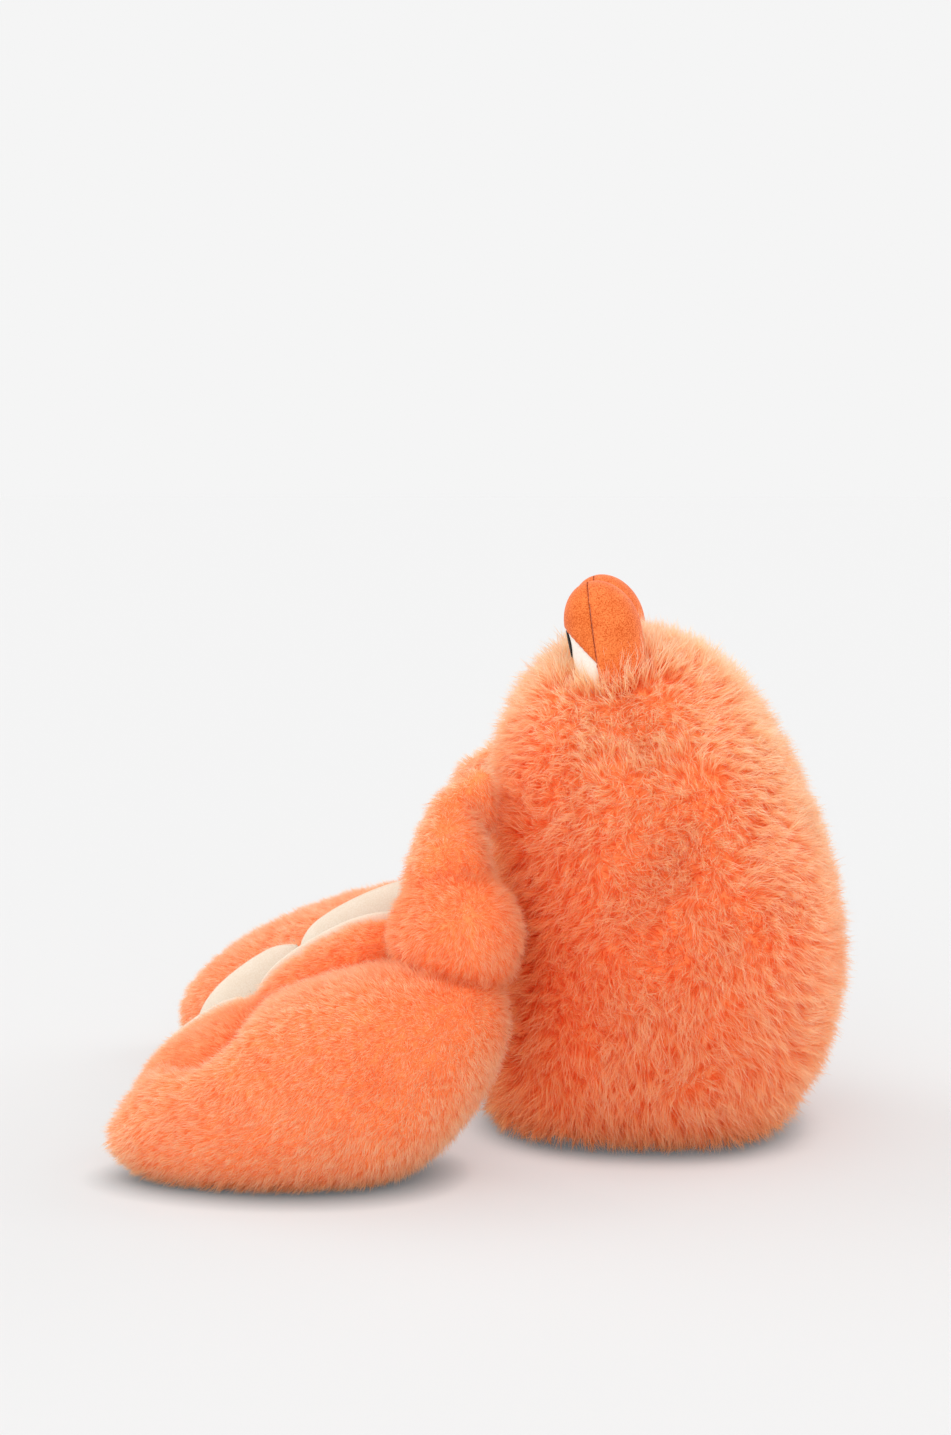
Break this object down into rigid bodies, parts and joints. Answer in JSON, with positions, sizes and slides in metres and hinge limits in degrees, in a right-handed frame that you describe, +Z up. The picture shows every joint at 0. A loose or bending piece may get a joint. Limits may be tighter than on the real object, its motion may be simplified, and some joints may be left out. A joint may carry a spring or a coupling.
{
  "type": "plush crab",
  "caption": "Sitting plush crab: a long-pile egg body with eyes sewn on top and floppy short-pile arms ending in big padded claws that open and swing.",
  "frame": {"origin": "point on the underside of the base panel below the middle of the body, on the floor", "axes": "+Z up, the crab faces -Y, its left side is +X"},
  "size_m": [0.3361, 0.3899, 0.2954],
  "materials": {
    "long_pile_fur": "long fluffy pile, about 15 mm",
    "short_pile_fur": "short dense pile, about 6 mm",
    "base_cloth": "flat woven cloth",
    "eye_velour": "close velour",
    "lid_velour": "close velour",
    "eye_white": "smooth knit",
    "pupil_felt": "felt",
    "cream_lining": "smooth brushed knit, padded",
    "fibre_filling": "loose polyester fibre",
    "pellet_cloth": "thin cloth bag of plastic pellets"
  },
  "bodies": {
    "torso": {"body_cover": "long_pile_fur", "base_panel": "base_cloth", "body_filling": "fibre_filling", "pellet_bag": "pellet_cloth", "left_eye_ball": "eye_white", "right_eye_ball": "eye_white", "left_eye_back": "eye_velour", "right_eye_back": "eye_velour", "left_eyelid": "lid_velour", "right_eyelid": "lid_velour", "left_pupil": "pupil_felt", "right_pupil": "pupil_felt"},
    "left_upper_arm": {"left_upper_arm_cover": "short_pile_fur", "left_upper_arm_filling": "fibre_filling"},
    "left_forearm": {"left_forearm_cover": "short_pile_fur", "left_forearm_filling": "fibre_filling"},
    "left_claw": {"left_claw_cover": "short_pile_fur", "left_claw_filling": "fibre_filling"},
    "left_finger": {"left_finger_back": "short_pile_fur", "left_front_tooth_pad": "cream_lining", "left_rear_tooth_pad": "cream_lining"},
    "right_upper_arm": {"right_upper_arm_cover": "short_pile_fur", "right_upper_arm_filling": "fibre_filling"},
    "right_forearm": {"right_forearm_cover": "short_pile_fur", "right_forearm_filling": "fibre_filling"},
    "right_claw": {"right_claw_cover": "short_pile_fur", "right_claw_filling": "fibre_filling"},
    "right_finger": {"right_finger_back": "short_pile_fur", "right_front_tooth_pad": "cream_lining", "right_rear_tooth_pad": "cream_lining"}
  },
  "joints": [
    {"name": "left_shoulder", "type": "hinge", "parent": "torso", "child": "left_upper_arm", "pos_m": [0.0541, -0.0975, 0.1725], "axis": [-1, 0, 0], "range_deg": [0, 50], "stiffness_Nm_per_rad": 0.05},
    {"name": "left_elbow", "type": "hinge", "parent": "left_upper_arm", "child": "left_forearm", "pos_m": [0.094, -0.106, 0.118], "axis": [-1, 0, 0], "range_deg": [0, 25], "stiffness_Nm_per_rad": 0.05},
    {"name": "left_wrist", "type": "hinge", "parent": "left_forearm", "child": "left_claw", "pos_m": [0.094, -0.106, 0.118], "axis": [0, 0, 1], "range_deg": [0, 20], "stiffness_Nm_per_rad": 0.05},
    {"name": "left_pinch", "type": "hinge", "parent": "left_claw", "child": "left_finger", "pos_m": [0.084, -0.112, 0.065], "axis": [0, 0, -1], "range_deg": [0, 12], "stiffness_Nm_per_rad": 0.04},
    {"name": "right_shoulder", "type": "hinge", "parent": "torso", "child": "right_upper_arm", "pos_m": [-0.0541, -0.0975, 0.1725], "axis": [-1, 0, 0], "range_deg": [0, 50], "stiffness_Nm_per_rad": 0.05},
    {"name": "right_elbow", "type": "hinge", "parent": "right_upper_arm", "child": "right_forearm", "pos_m": [-0.094, -0.106, 0.118], "axis": [-1, 0, 0], "range_deg": [0, 25], "stiffness_Nm_per_rad": 0.05},
    {"name": "right_wrist", "type": "hinge", "parent": "right_forearm", "child": "right_claw", "pos_m": [-0.094, -0.106, 0.118], "axis": [0, 0, -1], "range_deg": [0, 20], "stiffness_Nm_per_rad": 0.05},
    {"name": "right_pinch", "type": "hinge", "parent": "right_claw", "child": "right_finger", "pos_m": [-0.084, -0.112, 0.065], "axis": [0, 0, 1], "range_deg": [0, 12], "stiffness_Nm_per_rad": 0.04}
  ]
}
